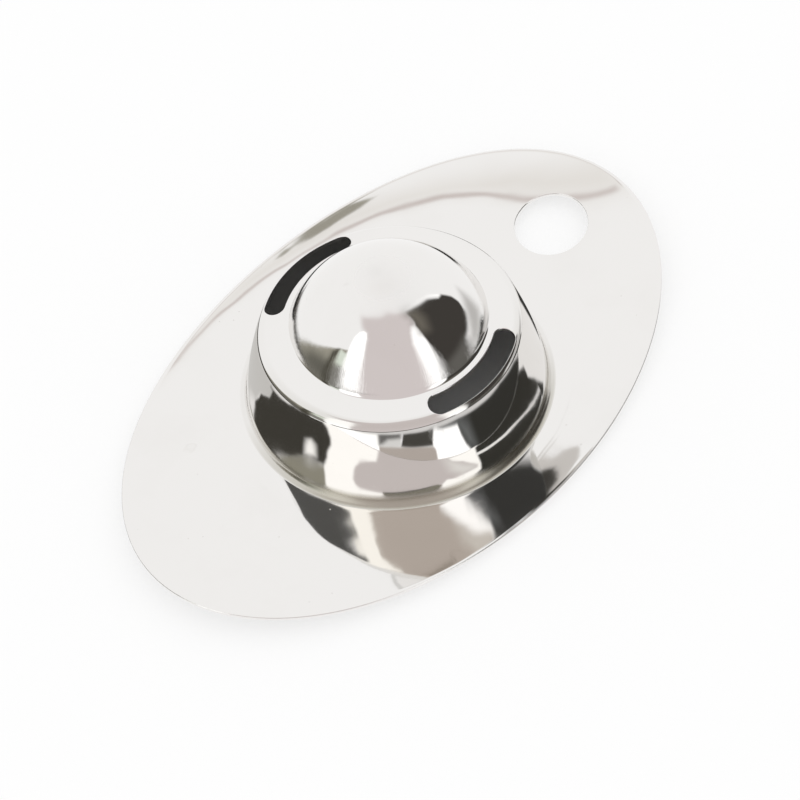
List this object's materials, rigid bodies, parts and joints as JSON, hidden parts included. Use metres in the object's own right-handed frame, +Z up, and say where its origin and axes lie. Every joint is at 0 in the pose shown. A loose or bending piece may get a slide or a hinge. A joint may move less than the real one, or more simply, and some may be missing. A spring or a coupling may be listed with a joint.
{
  "type": "egg separator",
  "caption": "Pressed steel egg separator: oval dished plate with a hang hole, a drawn cup, a sloping drain ring with arc slots, and a domed yolk well.",
  "frame": {"origin": "on the cup axis in the plane the piece rests on, cup upward", "axes": "+Z up along the cup axis, +X along the plate's length toward the hang hole"},
  "size_m": [0.14, 0.09, 0.0355],
  "materials": {
    "polished_steel": "mirror-polished stainless steel sheet"
  },
  "bodies": {
    "root": {"oval_plate": "polished_steel", "cup_root": "polished_steel", "cup_wall": "polished_steel", "cup_shoulder": "polished_steel", "drain_ring": "polished_steel", "dome_root": "polished_steel", "yolk_dome": "polished_steel"}
  },
  "joints": []
}
